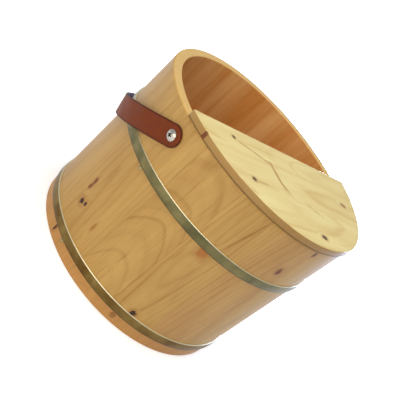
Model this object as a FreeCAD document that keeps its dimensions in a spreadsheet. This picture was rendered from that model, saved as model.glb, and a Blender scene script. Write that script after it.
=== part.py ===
import FreeCAD, Part
import math
import os
import re

import Sketcher
from FreeCAD import Vector

# Wooden foot bath: a tapered stave tub with a board floor, two metal hoops held up by nails,
# a half lid on battens that rests on the rim, and one leather carrying strap. The strap turns
# on a screw at each side and hangs round the back.
# Millimetres and degrees. The origin is the centre of the foot plane, +Z is up, the screws lie
# on the X axis and the lid covers the front. Angles are measured round Z from +X.

SIZES = {
    # staves of the wall
    "stave_count": 16,
    "first_joint": -165.9,
    "height": 305,
    "rim_radius": 200,
    "foot_radius": 188.5,
    "wall": 17,
    "rim_bevel": 2.8,
    # floor, let into a groove in the staves
    "floor_board_count": 4,
    "floor_level": 16,
    "floor_thickness": 14,
    "croze_depth": 6,
    # hoops round the wall
    "lower_hoop_rise": 20.5,
    "upper_hoop_drop": 104,
    "hoop_width": 16,
    "hoop_thickness": 3.1,
    "hoop_bevel": 3,
    # nails under the hoops
    "nail_angle": -179.4,
    "nail_head": 3.3,
    "nail_head_height": 1.9,
    "nail_head_bevel": 1.2,
    "nail_shank_side": 2,
    "nail_length": 9,
    "nail_gap": 0.1,
    # half lid of three boards
    "lid_angle": -95.9,
    "lid_overhang": 2.7,
    "lid_cut": 13,
    "lid_thickness": 12.2,
    "lid_first_share": 0.22,
    "lid_second_share": 0.37,
    "lid_corner": 4,
    "lid_chamfer": 1.6,
    # battens let into the underside of the lid on sliding dovetails
    "batten_spread_share": 0.4,
    "batten_width": 24,
    "batten_thickness": 12,
    "batten_inset": 3,
    "batten_clearance": 7,
    "batten_chamfer": 3,
    "dovetail_depth": 4.5,
    "dovetail_neck": 13,
    "dovetail_flare": 2,
    # leather carrying strap, in a plane that droops from its two screws
    "strap_drop": 37,
    "strap_width": 35,
    "strap_thickness": 3,
    "strap_tab": 9,
    "strap_droop": 28.9,
    "strap_slack": 24,
    "strap_stand_off": 6.3,
    "strap_settle": 23,
    "strap_twist": 11.5,
    # screws that hold the strap
    "handle_screw_head": 8.8,
    "handle_screw_dome": 4.4,
    "handle_screw_shank": 2.5,
    "handle_screw_length": 16,
    "recess_length": 9.6,
    "recess_width": 2.3,
    "recess_depth": 2.6,
    # sides of nail heads, screw shanks and their holes
    "shank_sides": 8,
    # room left at the end of a hole, and what its tool cuts above the face
    "hole_relief": 0.5,
    "hole_overrun": 1,
}

doc = FreeCAD.newDocument("foot_bath")
sheet = doc.addObject("Spreadsheet::Sheet", "Sizes")
for row, (alias, size) in enumerate(SIZES.items(), start=1):
    sheet.set(f"A{row}", alias)
    sheet.set(f"B{row}", str(size))
    sheet.setAlias(f"B{row}", alias)
doc.recompute()


def sized(text):
    """Write an expression's size names as references to the cells of the sheet."""
    return re.sub(r"[a-z][a-z_]+", lambda word: f"Sizes.{word[0]}" if word[0] in SIZES else word[0], text)


def bind(target, **expressions):
    """Bind properties of an object to expressions in the sheet's sizes."""
    for name, text in expressions.items():
        target.setExpression(name, sized(text))


def measure(text):
    """Work out an expression in the sheet's sizes, as a plain number."""
    result = sheet.evalExpression(sized(text))
    return float(getattr(result, "Value", result))


# Places, as expressions

FLARE = "atan((rim_radius - foot_radius) / height)"


def wall_radius(level):
    """Outside radius of the wall at a level above the foot plane."""
    return f"(foot_radius + (rim_radius - foot_radius) * ({level}) / height)"


def turned(angle):
    return f"placement(vector(0; 0; 0); rotation(vector(0; 0; 1); {angle}))"


def moved(x, y, z):
    return f"placement(vector({x}; {y}; {z}); rotation(vector(0; 0; 1); 0))"


HERE = moved("0", "0", "0")


def on_wall(angle, level):
    """A frame on the outside of the wall whose Z axis points straight out of the wood."""
    tilt = f"rotation(vector(0; 1; 0); 90 deg + {FLARE})"
    return f"{turned(angle)} * placement(vector({wall_radius(level)}; 0; {level}); {tilt})"


# Sketches and features

def origin_plane(body, role):
    return next(plane for plane in body.Origin.OriginFeatures if plane.Role == role)


def new_body(label):
    body = doc.addObject("PartDesign::Body", label)
    body.Label = label
    return body


def new_sketch(body, name, role):
    sketch = body.newObject("Sketcher::SketchObject", name)
    sketch.AttachmentSupport = [(origin_plane(body, role), "")]
    sketch.MapMode = "FlatFace"
    return sketch


def attach(feature, body):
    """Let a feature be placed from the body's own XY plane."""
    feature.AttachmentSupport = [(origin_plane(body, "XY_Plane"), "")]
    feature.MapMode = "FlatFace"


def name_constraint(sketch, number, name, text):
    """Name a dimension of a sketch and bind it to an expression in the sheet's sizes."""
    sketch.renameConstraint(number, name)
    sketch.setExpression(f"Constraints.{name}", sized(text))


def fix_point(sketch, edge, name, x, y):
    """Hold the start of an edge at a place given by two expressions."""
    for kind, word, text, axis in (("DistanceX", "out", x, -2), ("DistanceY", "up", y, -1)):
        if text == "0":
            sketch.addConstraint(Sketcher.Constraint("PointOnObject", edge, 1, axis))
        else:
            number = sketch.addConstraint(Sketcher.Constraint(kind, -1, 1, edge, 1, measure(text)))
            name_constraint(sketch, number, f"{name}_{word}", text)


def outline_sketch(body, name, corners, arc=None):
    """A closed outline in the XZ plane, walked anticlockwise through named corners, each held
    by expressions for its distances from the upright axis and from the ground.

    arc is the corner where an outward arc centred on the upright axis starts. The other edges
    are straight.
    """
    sketch = new_sketch(body, name, "XZ_Plane")
    names = list(corners)
    points = [Vector(measure(x), measure(y), 0) for x, y in corners.values()]
    for edge, corner in enumerate(names):
        start = points[edge]
        end = points[(edge + 1) % len(points)]
        if corner == arc:
            chord = end - start
            radius = chord.Length * chord.Length / (2 * abs(chord.y))
            crown = radius - math.sqrt(radius * radius - chord.Length * chord.Length / 4)
            middle = (start + end) * 0.5 + Vector(chord.y, -chord.x, 0).normalize() * crown
            sketch.addGeometry(Part.Arc(start, middle, end), False)
        else:
            sketch.addGeometry(Part.LineSegment(start, end), False)
    for edge, corner in enumerate(names):
        sketch.addConstraint(Sketcher.Constraint("Coincident", edge, 2, (edge + 1) % len(names), 1))
        fix_point(sketch, edge, corner, *corners[corner])
    if arc:
        sketch.addConstraint(Sketcher.Constraint("PointOnObject", names.index(arc), 3, -2))
    return sketch


def revolve(body, sketch, angle="360 deg"):
    """Turn a sketch in the XZ plane round the body's upright axis, half to each side."""
    feature = body.newObject("PartDesign::Revolution", "Turn")
    feature.Profile = sketch
    feature.ReferenceAxis = (sketch, ["V_Axis"])
    feature.Midplane = True
    bind(feature, Angle=angle)
    doc.recompute()
    return feature


def dress(body, base, kind, name, wanted, size_name, size):
    """Fillet or chamfer the edges of the base feature that a test picks."""
    edges = [f"Edge{i}" for i, edge in enumerate(base.Shape.Edges, start=1) if wanted(edge)]
    feature = body.newObject(kind, name)
    feature.Base = (base, edges)
    bind(feature, **{size_name: size})
    doc.recompute()
    return feature


def prism(body, kind, name, radius, height, place):
    """An eight-sided prism standing on the given frame, or the hole for one."""
    feature = body.newObject(kind, name)
    attach(feature, body)
    bind(feature, Polygon="shank_sides", Circumradius=radius, Height=height, AttachmentOffset=place)
    doc.recompute()
    return feature


def bounds_match(edge, **limits):
    """Whether every point of an edge has the stated coordinate or radius."""
    near = 0.01
    for vertex in edge.discretize(5):
        seen = {"z": vertex.z, "x": vertex.x, "r": math.hypot(vertex.x, vertex.y)}
        if any(abs(seen[key] - value) > near for key, value in limits.items()):
            return False
    return True


# Staves

STAVE_COUNT = int(SIZES["stave_count"])
NAILED_STAVES = (0, 5, 11)
HOOP_LEVELS = {"lower": "lower_hoop_rise", "upper": "(height - upper_hoop_drop)"}
STRAP_LEVEL = "(height - strap_drop)"

nail_sites = {}
for hoop, hoop_level in HOOP_LEVELS.items():
    for step in NAILED_STAVES:
        site = f"{hoop}_nail_{NAILED_STAVES.index(step) + 1}"
        angle = f"(nail_angle + {step} * 360 / stave_count)"
        level = f"({hoop_level} - nail_head - nail_gap)"
        nail_sites[site] = (angle, level)

handle_screw_sites = {
    "left_handle_screw": ("180", STRAP_LEVEL),
    "right_handle_screw": ("0", STRAP_LEVEL),
}

HANDLE_SCREW_DEPTH = "handle_screw_length - strap_thickness + hole_relief"


def stave_of(angle):
    """Number of the stave that an angle falls in."""
    turn = (measure(angle) - SIZES["first_joint"]) % 360
    return int(turn // (360 / STAVE_COUNT))


def make_stave(number):
    """One stave: a wedge of the tapered wall with the floor's groove and an eased rim."""
    body = new_body(f"stave_{number + 1:02d}")
    groove_top = "floor_level + floor_thickness"
    groove_radius = f"{wall_radius(groove_top)} - wall + croze_depth"
    profile = outline_sketch(body, "Section", {
        "foot_outer": (wall_radius("0"), "0"),
        "rim_outer": (wall_radius("height"), "height"),
        "rim_inner": (f"{wall_radius('height')} - wall", "height"),
        "groove_upper": (f"{wall_radius(groove_top)} - wall", groove_top),
        "groove_upper_deep": (groove_radius, groove_top),
        "groove_lower_deep": (groove_radius, "floor_level"),
        "groove_lower": (f"{wall_radius('floor_level')} - wall", "floor_level"),
        "foot_inner": (f"{wall_radius('0')} - wall", "0"),
    })
    wedge = revolve(body, profile, "360 deg / stave_count")
    rim = measure("height")
    outer = measure("rim_radius")
    last = dress(body, wedge, "PartDesign::Chamfer", "RimBevel",
                 lambda edge: bounds_match(edge, z=rim, r=outer), "Size", "rim_bevel")
    middle = f"(first_joint + ({number} + 0.5) * 360 / stave_count)"
    for site, (angle, level) in nail_sites.items():
        if stave_of(angle) == number:
            place = on_wall(f"({angle} - {middle})", level)
            last = nail_shank(body, "PartDesign::SubtractiveBox", f"{site}_hole", place,
                              "(nail_length + hole_relief)", "hole_overrun")
    for site, (angle, level) in handle_screw_sites.items():
        if stave_of(angle) == number:
            place = on_wall(f"({angle} - {middle})", level)
            last = prism(body, "PartDesign::SubtractivePrism", f"{site}_hole", "handle_screw_shank",
                         f"{HANDLE_SCREW_DEPTH} + hole_overrun",
                         f"{place} * {moved('0', '0', f'-({HANDLE_SCREW_DEPTH})')}")
    body.Tip = last
    bind(body, Placement=turned(middle))
    return body


# Floor

FLOOR_RADIUS = f"({wall_radius('floor_level + floor_thickness')} - wall + croze_depth)"


def make_floor_board(number):
    """One board of the round floor: the disc's slice between two joints."""
    label = f"floor_board_{number + 1}"
    disc = doc.addObject("Part::Cylinder", f"{label}_disc")
    bind(disc, Radius=FLOOR_RADIUS, Height="floor_thickness",
         Placement=moved("0", "0", "floor_level"))
    strip = doc.addObject("Part::Box", f"{label}_strip")
    width = f"(2 * {FLOOR_RADIUS} / floor_board_count)"
    bind(strip, Length=f"2 * {FLOOR_RADIUS}", Width=width, Height="floor_thickness",
         Placement=moved(f"-{FLOOR_RADIUS}", f"{number} * {width} - {FLOOR_RADIUS}", "floor_level"))
    board = doc.addObject("Part::Common", label)
    board.Base = disc
    board.Tool = strip
    board.Label = label
    return board


# Hoops

def make_hoop(name):
    """A flared metal band with a bevelled top edge, seated on the wall's taper."""
    body = new_body(f"{name}_hoop")
    low = HOOP_LEVELS[name]
    high = f"({low} + hoop_width)"
    shoulder = f"({low} + hoop_width - hoop_bevel)"
    section = outline_sketch(body, "Section", {
        "low_inner": (wall_radius(low), low),
        "low_outer": (f"{wall_radius(low)} + hoop_thickness", low),
        "shoulder": (f"{wall_radius(shoulder)} + hoop_thickness", shoulder),
        "high_outer": (f"{wall_radius(high)} + hoop_thickness - hoop_bevel / 2", high),
        "high_inner": (wall_radius(high), high),
    })
    revolve(body, section)
    return body


# Nails and screws, each with its head towards +Z

def nail_shank(body, kind, name, place, length, overrun):
    """A square nail shank, or the hole for one, standing in the frame's -Z direction."""
    shank = body.newObject(kind, name)
    attach(shank, body)
    corner = moved("-nail_shank_side / 2", "-nail_shank_side / 2", f"-{length}")
    bind(shank, Length="nail_shank_side", Width="nail_shank_side", Height=f"{length} + {overrun}",
         AttachmentOffset=f"{place} * {corner}")
    doc.recompute()
    return shank


def make_nail(site):
    """A hoop nail: a small bevelled head on a square shank."""
    nail = new_body(site)
    head = prism(nail, "PartDesign::AdditivePrism", "Head", "nail_head", "nail_head_height", HERE)
    top = measure("nail_head_height")
    dress(nail, head, "PartDesign::Chamfer", "HeadBevel",
          lambda edge: bounds_match(edge, z=top), "Size", "nail_head_bevel")
    nail_shank(nail, "PartDesign::AdditiveBox", "Shank", HERE, "nail_length", "0")
    bind(nail, Placement=on_wall(*nail_sites[site]))
    return nail


def make_handle_screw(site):
    """A broad domed screw with a cross recess, its head on the strap and its end in the wall."""
    screw = new_body(site)
    dome = outline_sketch(screw, "Section", {
        "seat": ("0", "handle_screw_length"),
        "edge": ("handle_screw_head", "handle_screw_length"),
        "crown": ("0", "handle_screw_length + handle_screw_dome"),
    }, arc="edge")
    revolve(screw, dome)
    prism(screw, "PartDesign::AdditivePrism", "Shank", "handle_screw_shank", "handle_screw_length", HERE)
    top = "(handle_screw_length + handle_screw_dome)"
    for name, length, width in (("RecessLong", "recess_length", "recess_width"),
                                ("RecessAcross", "recess_width", "recess_length")):
        slot = screw.newObject("PartDesign::SubtractiveBox", name)
        attach(slot, screw)
        corner = moved(f"-{length} / 2", f"-{width} / 2", f"{top} - recess_depth")
        bind(slot, Length=length, Width=width, Height="recess_depth + handle_screw_dome",
             AttachmentOffset=corner)
    seat = "(strap_thickness - handle_screw_length)"
    bind(screw, Placement=f"{on_wall(*handle_screw_sites[site])} * {moved('0', '0', seat)}")
    return screw


def group(label, pieces):
    """Identical fasteners kept together, each still a solid of its own."""
    together = doc.addObject("Part::Compound", label)
    together.Links = pieces
    together.Label = label
    return together


# Lid

LID_RADIUS = "(rim_radius + lid_overhang)"
LID_DEPTH = f"({LID_RADIUS} - lid_cut)"
LID_EDGES = (
    "lid_cut",
    f"(lid_cut + {LID_DEPTH} * lid_first_share)",
    f"(lid_cut + {LID_DEPTH} * (lid_first_share + lid_second_share))",
    LID_RADIUS,
)
BATTEN_SIDES = {"front": -1, "rear": 1}
BATTEN_OFFSET = "(rim_radius * batten_spread_share)"
BATTEN_START = "(lid_cut + batten_inset)"
BATTEN_REACH = "(rim_radius - wall - batten_clearance)"
BATTEN_END = f"sqrt({BATTEN_REACH} ^ 2 - ({BATTEN_OFFSET} + batten_width / 2) ^ 2)"
LID_PLACE = f"{moved('0', '0', 'height')} * {turned('lid_angle')}"


def dovetail(body, kind, name, start, end, side):
    """A dovetail along the lid's X axis, standing on its underside: narrow at the underside
    and wider above. The battens carry one and the boards are cut for it."""
    tail = body.newObject(kind, name)
    attach(tail, body)
    upright = f"placement(vector({start}; {side}; 0); rotation(vector(1; 0; 0); 90))"
    bind(tail, Xmin="0", X2min="0", Xmax=f"{end} - {start}", X2max=f"{end} - {start}",
         Ymin="0", Ymax="dovetail_depth",
         Zmin="-dovetail_neck / 2", Zmax="dovetail_neck / 2",
         Z2min="-dovetail_neck / 2 - dovetail_flare", Z2max="dovetail_neck / 2 + dovetail_flare",
         AttachmentOffset=upright)
    doc.recompute()
    return tail


def lid_outline(body, near, far):
    """Outline of one board: chords of the lid's circle joined by its arcs."""
    sketch = new_sketch(body, "Outline", "XY_Plane")
    radius = measure(LID_RADIUS)
    a = measure(near)
    b = measure(far)
    rise_a = math.sqrt(radius * radius - a * a)
    near_low = Vector(a, -rise_a, 0)
    near_high = Vector(a, rise_a, 0)
    upright = Vector(0, 0, 1)
    start = math.atan2(rise_a, a)
    circle = Part.Circle(Vector(0, 0, 0), upright, radius)
    last_board = far == LID_RADIUS
    sketch.addGeometry(Part.LineSegment(near_high, near_low), False)
    if last_board:
        sketch.addGeometry(Part.ArcOfCircle(circle, -start, start), False)
        joins = ((0, 2, 1, 1), (1, 2, 0, 1))
        arcs = (1,)
    else:
        rise_b = math.sqrt(radius * radius - b * b)
        stop = math.atan2(rise_b, b)
        sketch.addGeometry(Part.ArcOfCircle(circle, -start, -stop), False)
        sketch.addGeometry(Part.LineSegment(Vector(b, -rise_b, 0), Vector(b, rise_b, 0)), False)
        sketch.addGeometry(Part.ArcOfCircle(circle, stop, start), False)
        joins = ((0, 2, 1, 1), (1, 2, 2, 1), (2, 2, 3, 1), (3, 2, 0, 1))
        arcs = (1, 3)
        sketch.addConstraint(Sketcher.Constraint("Vertical", 2))
        number = sketch.addConstraint(Sketcher.Constraint("DistanceX", -1, 1, 2, 1, b))
        sketch.renameConstraint(number, "far_joint")
        sketch.setExpression("Constraints.far_joint", sized(far))
    for join in joins:
        sketch.addConstraint(Sketcher.Constraint("Coincident", *join))
    for arc in arcs:
        sketch.addConstraint(Sketcher.Constraint("Coincident", arc, 3, -1, 1))
    number = sketch.addConstraint(Sketcher.Constraint("Radius", arcs[0], radius))
    sketch.renameConstraint(number, "edge_radius")
    sketch.setExpression("Constraints.edge_radius", sized(LID_RADIUS))
    if not last_board:
        sketch.addConstraint(Sketcher.Constraint("Equal", *arcs))
    sketch.addConstraint(Sketcher.Constraint("Vertical", 0))
    number = sketch.addConstraint(Sketcher.Constraint("DistanceX", -1, 1, 0, 1, a))
    sketch.renameConstraint(number, "near_edge")
    sketch.setExpression("Constraints.near_edge", sized(near))
    return sketch


def make_lid_board(number):
    """One board of the half lid, its outer edges eased, cut underneath for the battens."""
    body = new_body(f"lid_board_{number + 1}")
    near = LID_EDGES[number]
    far = LID_EDGES[number + 1]
    last = body.newObject("PartDesign::Pad", "Board")
    last.Profile = lid_outline(body, near, far)
    bind(last, Length="lid_thickness")
    doc.recompute()
    top = measure("lid_thickness")
    rim = measure(LID_RADIUS)
    if number == 0:
        front = measure(near)
        last = dress(body, last, "PartDesign::Fillet", "FrontCorners",
                     lambda edge: bounds_match(edge, x=front, r=rim), "Radius", "lid_corner")
    joints = [measure(edge) for edge in LID_EDGES[1:-1]]
    last = dress(body, last, "PartDesign::Chamfer", "TopEdge",
                 lambda edge: bounds_match(edge, z=top)
                 and not any(bounds_match(edge, x=joint) for joint in joints),
                 "Size", "lid_chamfer")
    open_end = "(lid_cut - hole_overrun)"
    for name, side in BATTEN_SIDES.items():
        last = dovetail(body, "PartDesign::SubtractiveWedge", f"{name}_groove", open_end, BATTEN_END,
                        f"{side} * {BATTEN_OFFSET}")
    body.Tip = last
    bind(body, Placement=LID_PLACE)
    return body


def make_batten(name, side):
    """A batten across the lid's boards, hanging inside the rim on its dovetail."""
    body = new_body(f"{name}_lid_batten")
    bar = body.newObject("PartDesign::AdditiveBox", "Bar")
    attach(bar, body)
    bind(bar, Length=f"{BATTEN_END} - {BATTEN_START}", Width="batten_width", Height="batten_thickness",
         AttachmentOffset=moved(BATTEN_START, "-batten_width / 2", "-batten_thickness"))
    doc.recompute()
    under = -measure("batten_thickness")
    dress(body, bar, "PartDesign::Chamfer", "UnderEdge",
          lambda edge: bounds_match(edge, z=under), "Size", "batten_chamfer")
    body.Tip = dovetail(body, "PartDesign::AdditiveWedge", "Dovetail", BATTEN_START, BATTEN_END, "0")
    bind(body, Placement=f"{LID_PLACE} * {moved('0', f'{side} * {BATTEN_OFFSET}', '0')}")
    return body


# Carrying strap

STRAP_STEPS = 18


def strap_seat():
    """The strap's frame at the left screw: the screw's place on the wall, then the directions
    along the strap, across it and out of the wall, and the wall's own level and upward ways."""
    flare = math.radians(measure(FLARE))
    droop = math.radians(measure("strap_droop"))
    screw = Vector(-measure(wall_radius(STRAP_LEVEL)), 0, measure(STRAP_LEVEL))
    outward = Vector(-math.cos(flare), 0, -math.sin(flare))
    upward = Vector(-math.sin(flare), 0, math.cos(flare))
    level_way = Vector(0, 1, 0)
    along = level_way * math.cos(droop) - upward * math.sin(droop)
    across = level_way * math.sin(droop) + upward * math.cos(droop)
    return screw, along, across, outward, level_way, upward


def strap_stations():
    """Half of the strap's mid-line, from its left tab to the middle of its back, as a list of
    (point, across, outward). It is a quarter of an ellipse in the drooping plane through the
    screws, longer than the wall's radius by the slack. Soon after the tab it stands off the
    wall to pass over the upper hoop, and it twists a little so that its lower edge hangs in."""
    screw, along, across, outward, level_way, upward = strap_seat()
    droop = math.radians(measure("strap_droop"))
    twist = math.radians(measure("strap_twist"))
    stand_off = measure("strap_stand_off")
    settle = measure("strap_settle")
    half_thickness = measure("strap_thickness") / 2
    centre = Vector(0, 0, screw.z)
    sideways = Vector(-1, 0, 0)
    sinking = Vector(0, math.cos(droop), -math.sin(droop))
    upright = Vector(0, math.sin(droop), math.cos(droop))
    near = half_thickness - screw.x
    reach = near + measure("strap_slack")

    stations = [(screw + outward * half_thickness + along * measure("strap_tab"), across, outward)]
    for step in range(1, STRAP_STEPS + 1):
        turn = math.pi / 2 * step / STRAP_STEPS
        off = stand_off * (1 - math.cos(turn) ** settle)
        growth = stand_off * settle * math.cos(turn) ** (settle - 1) * math.sin(turn)
        point = centre + sideways * ((near + off) * math.cos(turn)) + sinking * ((reach + off) * math.sin(turn))
        heading = sideways * (growth * math.cos(turn) - (near + off) * math.sin(turn))
        heading += sinking * (growth * math.sin(turn) + (reach + off) * math.cos(turn))
        away = upright.cross(heading).normalize()
        lean = twist * math.sin(turn) ** 2
        stations.append((point, upright * math.cos(lean) - away * math.sin(lean),
                         away * math.cos(lean) + upright * math.sin(lean)))
    return stations


def mirrored(vector):
    return Vector(-vector.x, vector.y, vector.z)


def strap_shape():
    """The strap: a tab with a round end under each screw, and the long loop between them."""
    width = measure("strap_width")
    thickness = measure("strap_thickness")
    sections = []
    for point, across, outward in strap_stations():
        side = across * (width / 2)
        skin = outward * (thickness / 2)
        sections.append([point + side + skin, point + side - skin, point - side - skin, point - side + skin])
    facets = [sections[0]]
    for here, there in zip(sections, sections[1:]):
        for corner in range(len(here)):
            following = (corner + 1) % len(here)
            facets.append([here[corner], there[corner], there[following]])
            facets.append([here[corner], there[following], here[following]])
    facets += [[mirrored(corner) for corner in facet] for facet in facets]
    faces = [Part.Face(Part.makePolygon(facet + facet[:1])) for facet in facets]
    loop = Part.makeSolid(Part.makeShell(faces))

    screw, along, across, outward, level_way, upward = strap_seat()
    tab_end = screw + along * measure("strap_tab")
    side = across * (width / 2)
    round_end = Part.Arc(screw - side, screw - along * (width / 2), screw + side).toShape()
    straight = Part.makePolygon([screw + side, tab_end + side, tab_end - side, screw - side])
    tab = Part.Face(Part.Wire([round_end] + straight.Edges)).extrude(outward * thickness)
    hole_corners = []
    for corner in range(int(SIZES["shank_sides"])):
        turn = 2 * math.pi * corner / SIZES["shank_sides"]
        spoke = upward * math.cos(turn) + level_way * math.sin(turn)
        hole_corners.append(screw + spoke * measure("handle_screw_shank"))
    hole = Part.Face(Part.makePolygon(hole_corners + hole_corners[:1])).extrude(outward * thickness)
    tab = tab.cut(hole)
    other_tab = tab.mirror(Vector(0, 0, 0), Vector(1, 0, 0))
    return loop.fuse([tab, other_tab]).removeSplitter()


def make_strap():
    strap = doc.addObject("Part::Feature", "handle_strap")
    strap.Label = "handle_strap"
    strap.Shape = strap_shape()
    return strap


# The whole foot bath

parts = [make_stave(number) for number in range(STAVE_COUNT)]
parts += [make_floor_board(number) for number in range(int(SIZES["floor_board_count"]))]
parts += [make_hoop(name) for name in HOOP_LEVELS]
parts.append(group("hoop_nails", [make_nail(site) for site in nail_sites]))
parts += [make_lid_board(number) for number in range(len(LID_EDGES) - 1)]
parts += [make_batten(name, side) for name, side in BATTEN_SIDES.items()]
parts.append(make_strap())
parts.append(group("handle_screws", [make_handle_screw(site) for site in handle_screw_sites]))
doc.recompute()

for item in doc.Objects:
    if "Invalid" in item.State or "Error" in item.State:
        raise RuntimeError(f"{item.Label} did not build: {item.State}")
for part in parts:
    if part.Shape.isNull() or not part.Shape.isValid():
        raise RuntimeError(f"{part.Label} has no valid shape")

os.makedirs("parts", exist_ok=True)
for part in parts:
    part.Shape.exportStep(f"parts/{part.Label}.step")
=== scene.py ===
import math
from dataclasses import dataclass

import bmesh
import bpy
from mathutils import Matrix, Vector


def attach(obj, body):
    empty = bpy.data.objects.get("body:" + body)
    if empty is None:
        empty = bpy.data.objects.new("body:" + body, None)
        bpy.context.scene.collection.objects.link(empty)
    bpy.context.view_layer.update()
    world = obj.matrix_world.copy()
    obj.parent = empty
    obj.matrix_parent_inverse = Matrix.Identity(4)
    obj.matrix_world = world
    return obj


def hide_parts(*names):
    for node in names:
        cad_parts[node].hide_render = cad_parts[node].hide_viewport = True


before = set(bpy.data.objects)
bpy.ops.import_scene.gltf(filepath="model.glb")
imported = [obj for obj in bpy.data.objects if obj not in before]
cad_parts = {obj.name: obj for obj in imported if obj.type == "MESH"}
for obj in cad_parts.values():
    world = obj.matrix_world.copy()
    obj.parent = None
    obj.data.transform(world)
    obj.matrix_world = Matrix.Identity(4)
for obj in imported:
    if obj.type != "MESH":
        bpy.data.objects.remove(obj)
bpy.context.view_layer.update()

# The wooden foot bath: varnished pine staves, metal hoops, a half lid and a leather strap.
# Sizes are millimetres and degrees until a mesh is written in metres.

MM = 0.001

# the wall, as the frame has it
STAVE_COUNT = 16
FIRST_JOINT = -165.9
HEIGHT = 305
RIM_RADIUS = 200
FOOT_RADIUS = 188.5
WALL = 17
RIM_ROUND_OUTER = 3.4
RIM_ROUND_INNER = 2
FOOT_ROUND = 1.4
JOINT_EASE = 0.3

# the floor and the groove in the staves that holds it
FLOOR_BOARD_COUNT = 4
FLOOR_LEVEL = 16
FLOOR_THICKNESS = 14
CROZE_DEPTH = 6

# the hoops: the level of each lower edge, and how far the edges lie back from the crown
HOOP_LEVELS = {"lower_hoop": 20.5, "upper_hoop": HEIGHT - 104}
HOOP_WIDTH = 16
HOOP_THICKNESS = 3.1
HOOP_EDGE_ROUND = 1.5
HOOP_CROWN_ROUND = 30
HOOP_LOWER_BACK = 0.7
HOOP_UPPER_BACK = 1.05

# the lid: its joints lie at shares of its depth from the straight edge to the round one
LID_ANGLE = -95.9
LID_RADIUS = RIM_RADIUS + 2.7
LID_CUT = 13
LID_THICKNESS = 12.2
LID_SHARES = (0, 0.22, 0.59, 1)
LID_CORNER = 4
LID_UPPER_ROUND = 1.8
LID_LOWER_EASE = 0.5

# nails under the hoops, as staves counted on from the first nail
NAIL_ANGLE = -179.4
NAILED_STAVES = (0, 5, 11)
NAIL_HEAD = 3.3
NAIL_DOME = 1.9
NAIL_RIM = 0.4
NAIL_GAP = 0.1

# screws through the strap
SCREW_HEAD = 8.8
SCREW_DOME = 4.4
SCREW_RIM = 0.8
RECESS_LENGTH = 9.6
RECESS_WIDTH = 2.3
RECESS_DEPTH = 2.6
RECESS_TAPER = 0.55
HEAD_EASE = 0.3

# the carrying strap
STRAP_LEVEL = HEIGHT - 37
STRAP_WIDTH = 35
STRAP_THICKNESS = 3
STRAP_TAB = 9
STRAP_DROOP = 28.9
STRAP_SLACK = 24
STRAP_STAND_OFF = 6.3
STRAP_SETTLE = 23
STRAP_TWIST = 11.5
STRAP_EDGE_ROUND = 1.1
# the dark band along the strap's edges: dye on the cut edge and painted shade beside it
STRAP_DYE_AND_SHADE_WIDTH = 4

# how much the photographed foot bath is turned from the frame's axes
PHOTO_TURN = -60.9

WALL_SLOPE = (RIM_RADIUS - FOOT_RADIUS) / HEIGHT
FLARE = math.atan(WALL_SLOPE)


def turn(degrees):
    """A turn round the tub's axis."""
    return Matrix.Rotation(math.radians(degrees), 3, "Z")


def wall_radius(level):
    """Outside radius of the wall at a level above the foot plane."""
    return FOOT_RADIUS + WALL_SLOPE * level


# Meshes

def rounded(corners, steps=5):
    """A closed outline in a plane from corners (x, y, radius), each rounded to its radius."""
    outline = []
    for number, (x, y, radius) in enumerate(corners):
        corner = Vector((x, y))
        if not radius:
            outline.append(corner)
            continue
        back = (Vector(corners[number - 1][:2]) - corner).normalized()
        ahead = (Vector(corners[(number + 1) % len(corners)][:2]) - corner).normalized()
        half = back.angle(ahead) / 2
        centre = corner + (back + ahead).normalized() * (radius / math.sin(half))
        first = corner + back * (radius / math.tan(half)) - centre
        last = corner + ahead * (radius / math.tan(half)) - centre
        sweep = first.angle_signed(last)
        for step in range(steps + 1):
            outline.append(centre + Matrix.Rotation(-sweep * step / steps, 2) @ first)
    return outline


def finish_mesh(name, mesh_data, nodes, sharp=40):
    """Make an object of a bmesh that rides on the body in place of the named CAD nodes."""
    bmesh.ops.recalc_face_normals(mesh_data, faces=mesh_data.faces)
    mesh = bpy.data.meshes.new(name)
    mesh_data.to_mesh(mesh)
    mesh_data.free()
    mesh.shade_smooth()
    mesh.set_sharp_from_angle(angle=math.radians(sharp))
    piece = bpy.data.objects.new(name, mesh)
    bpy.context.collection.objects.link(piece)
    even = piece.modifiers.new("even_shading", "WEIGHTED_NORMAL")
    even.keep_sharp = True
    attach(piece, "root")
    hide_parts(*nodes)
    return piece


def loft(mesh_data, sections, ring=False):
    """Join closed sections, each a list of points in mm, by quads. A ring joins its last section
    to its first, and anything else gets a face on each end."""
    rows = [[mesh_data.verts.new(point * MM) for point in section] for section in sections]
    pairs = list(zip(rows, rows[1:]))
    if ring:
        pairs.append((rows[-1], rows[0]))
    else:
        mesh_data.faces.new(rows[0])
        mesh_data.faces.new(rows[-1])
    for near, far in pairs:
        for number in range(len(near)):
            following = (number + 1) % len(near)
            mesh_data.faces.new((near[number], near[following], far[following], far[number]))


def around(outline, angle):
    """An (r, z) outline stood up at an angle round the tub's axis."""
    return [turn(angle) @ Vector((point.x, 0, point.y)) for point in outline]


# The staves

def stave_outline():
    """A stave from its side: rounded at the rim and foot, with the groove for the floor."""
    groove_top = FLOOR_LEVEL + FLOOR_THICKNESS
    groove = wall_radius(groove_top) - WALL + CROZE_DEPTH
    return rounded([
        (wall_radius(0), 0, FOOT_ROUND),
        (wall_radius(HEIGHT), HEIGHT, RIM_ROUND_OUTER),
        (wall_radius(HEIGHT) - WALL, HEIGHT, RIM_ROUND_INNER),
        (wall_radius(groove_top) - WALL, groove_top, 0),
        (groove, groove_top, 0),
        (groove, FLOOR_LEVEL, 0),
        (wall_radius(FLOOR_LEVEL) - WALL, FLOOR_LEVEL, 0),
        (wall_radius(0) - WALL, 0, FOOT_ROUND),
    ])


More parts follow.
